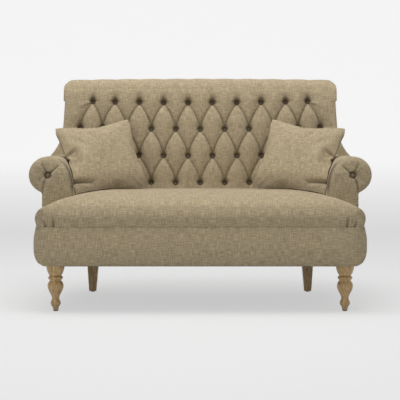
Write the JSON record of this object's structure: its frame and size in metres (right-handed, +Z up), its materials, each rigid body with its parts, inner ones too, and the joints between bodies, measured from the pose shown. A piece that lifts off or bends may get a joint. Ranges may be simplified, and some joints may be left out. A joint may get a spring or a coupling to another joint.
{
  "type": "two-seater sofa",
  "caption": "Upholstered two-seater sofa with a deep-buttoned raked back, scroll arms, tight bench seat, turned front legs and loose scatter cushions.",
  "frame": {"origin": "on the floor, under the middle of the sofa's box", "axes": "+X to the viewer's right along the sofa, +Y to its back, +Z up"},
  "size_m": [1.38, 0.8049, 0.96],
  "materials": {
    "linen": "matt slubby woven linen",
    "foam": "upholstery foam and wadding",
    "frame_wood": "plain sawn beech",
    "leg_wood": "clear satin lacquer",
    "webbing": "woven jute",
    "lining": "matt spun cloth",
    "steel": "bright zinc",
    "glide": "matt"
  },
  "bodies": {
    "sofa": {"back_pad": "linen", "back_buttons": "linen", "outside_back": "linen", "seat_foam": "linen", "front_border": "linen", "left_arm_pad": "linen", "right_arm_pad": "linen", "left_arm_facing": "linen", "right_arm_facing": "linen", "left_arm_button": "linen", "right_arm_button": "linen", "left_outside_arm": "linen", "right_outside_arm": "linen", "front_seat_rail": "frame_wood", "rear_seat_rail": "frame_wood", "centre_seat_brace": "frame_wood", "back_top_rail": "frame_wood", "back_lower_rail": "frame_wood", "frame_dowels": "frame_wood", "left_seat_rail": "frame_wood", "right_seat_rail": "frame_wood", "left_corner_block": "frame_wood", "right_corner_block": "frame_wood", "left_arm_stump": "frame_wood", "right_arm_stump": "frame_wood", "left_arm_rail": "frame_wood", "right_arm_rail": "frame_wood", "left_arm_tack_rail": "frame_wood", "right_arm_tack_rail": "frame_wood", "left_arm_facing_board": "frame_wood", "right_arm_facing_board": "frame_wood", "left_back_post": "frame_wood", "right_back_post": "frame_wood", "left_front_leg": "leg_wood", "right_front_leg": "leg_wood", "left_rear_leg": "leg_wood", "right_rear_leg": "leg_wood", "back_cross_straps": "webbing", "back_upright_straps": "webbing", "back_hessian": "webbing", "button_twines": "webbing", "seat_deck": "webbing", "dust_cover": "lining", "post_screws": "steel", "leg_bolts": "steel", "leg_tee_nuts": "steel", "seat_springs": "steel", "spring_clips": "steel", "leg_glides": "glide"},
    "left_cushion": {"left_cushion_cover": "linen", "left_cushion_fill": "foam"},
    "right_cushion": {"right_cushion_cover": "linen", "right_cushion_fill": "foam"}
  },
  "joints": [
    {"name": "left_cushion_lift", "type": "slide", "parent": "sofa", "child": "left_cushion", "axis": [0, 0, 1], "range_m": [0, 0.45]},
    {"name": "right_cushion_lift", "type": "slide", "parent": "sofa", "child": "right_cushion", "axis": [0, 0, 1], "range_m": [0, 0.45]}
  ]
}
